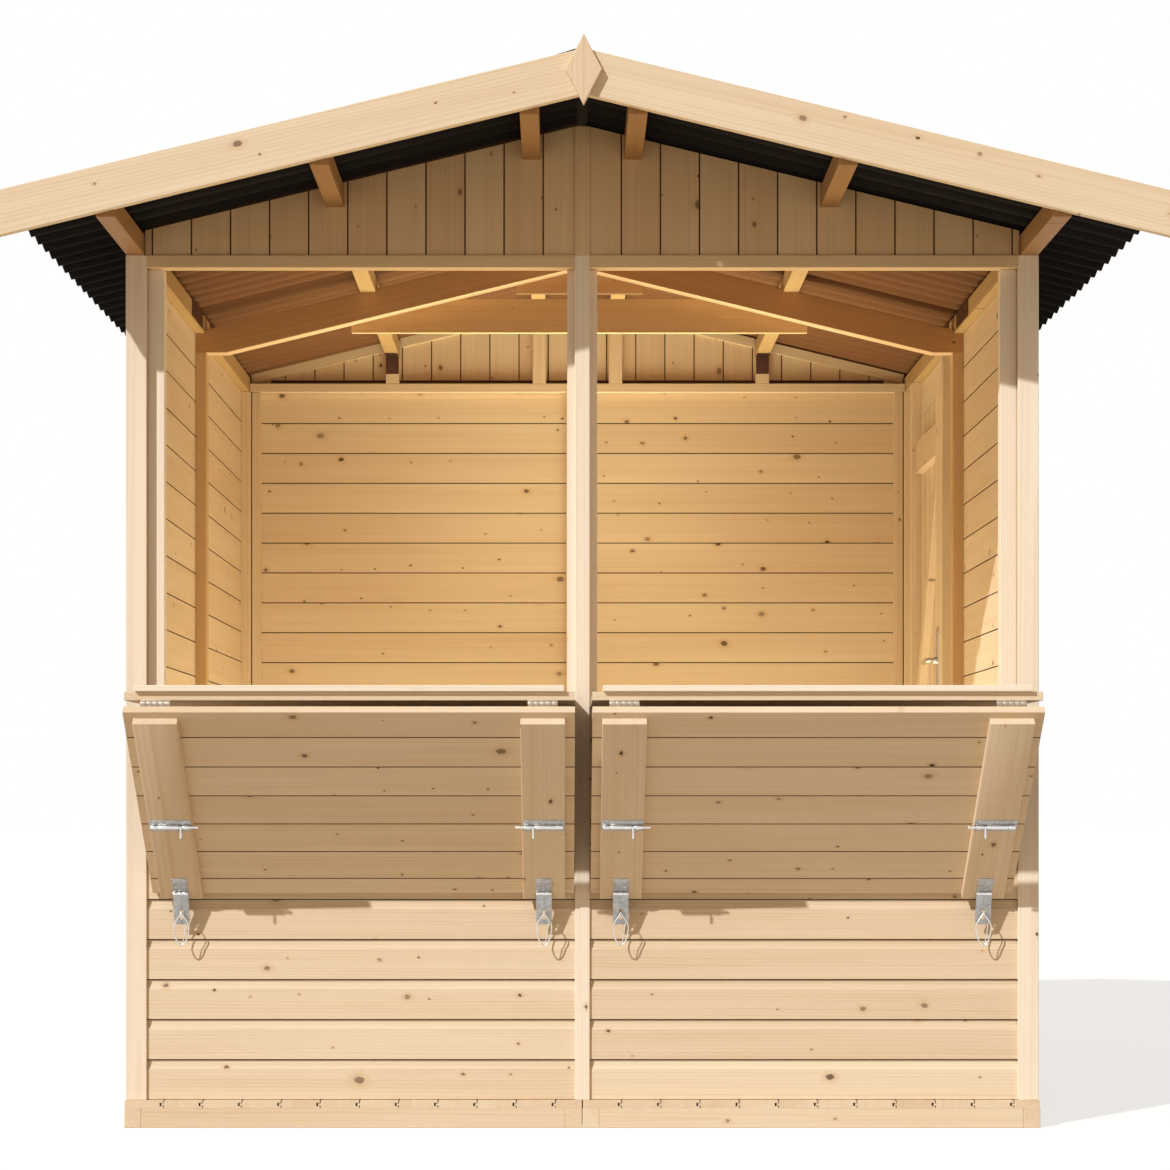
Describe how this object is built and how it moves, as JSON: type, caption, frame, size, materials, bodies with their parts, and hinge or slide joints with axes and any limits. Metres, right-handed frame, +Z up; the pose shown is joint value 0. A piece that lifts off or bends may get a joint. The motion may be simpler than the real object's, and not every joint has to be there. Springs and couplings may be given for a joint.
{
  "type": "wooden market hut",
  "caption": "Small timber market hut with board walls, a low corrugated gable roof, folding serving hatches propped open as counters on the front, and a hinged side door.",
  "frame": {"origin": "on the ground under the middle of the roof's outline", "axes": "+X to the right of the serving front, +Y from the front to the back, +Z up"},
  "size_m": [2.43, 2.774, 2.29],
  "materials": {
    "board_pine": "planed",
    "frame_pine": "planed",
    "bitumen_sheet": "matte",
    "zinc": "zinc plated"
  },
  "bodies": {
    "hut": {"back_gable": "board_pine", "back_wall": "board_pine", "bargeboards_left": "board_pine", "bargeboards_right": "board_pine", "barrel_bolts": "zinc", "collar_tie": "frame_pine", "counter_lips": "board_pine", "counters": "board_pine", "door_hinge_pins": "zinc", "finials": "board_pine", "flap_battens": "board_pine", "flaps": "board_pine", "floor_bearers": "frame_pine", "floor_decks": "board_pine", "floor_joists": "frame_pine", "front_gable": "board_pine", "front_header": "board_pine", "front_posts": "board_pine", "front_wall": "board_pine", "gable_studs": "frame_pine", "gable_trims": "board_pine", "hasps": "zinc", "hatch_hinges": "zinc", "left_wall": "board_pine", "purlins": "frame_pine", "rafter_left": "frame_pine", "rafter_right": "frame_pine", "ridge_cap": "bitumen_sheet", "ridge_gusset": "frame_pine", "right_wall": "board_pine", "right_wall_over_door": "board_pine", "roof_sheet_left": "bitumen_sheet", "roof_sheet_right": "bitumen_sheet", "side_studs": "frame_pine", "truss_posts": "frame_pine", "wall_rails": "frame_pine", "wall_studs": "frame_pine", "wall_trims": "board_pine"},
    "door": {"door_braces": "board_pine", "door_handle": "zinc", "door_hinge_straps": "zinc", "door_leaf": "board_pine", "door_ledges": "board_pine", "door_stile": "board_pine"}
  },
  "joints": [
    {"name": "door_swing", "type": "hinge", "parent": "hut", "child": "door", "pos_m": [1.012, 0.75, 0.9], "axis": [0, 0, 1], "range_deg": [0, 100]}
  ]
}
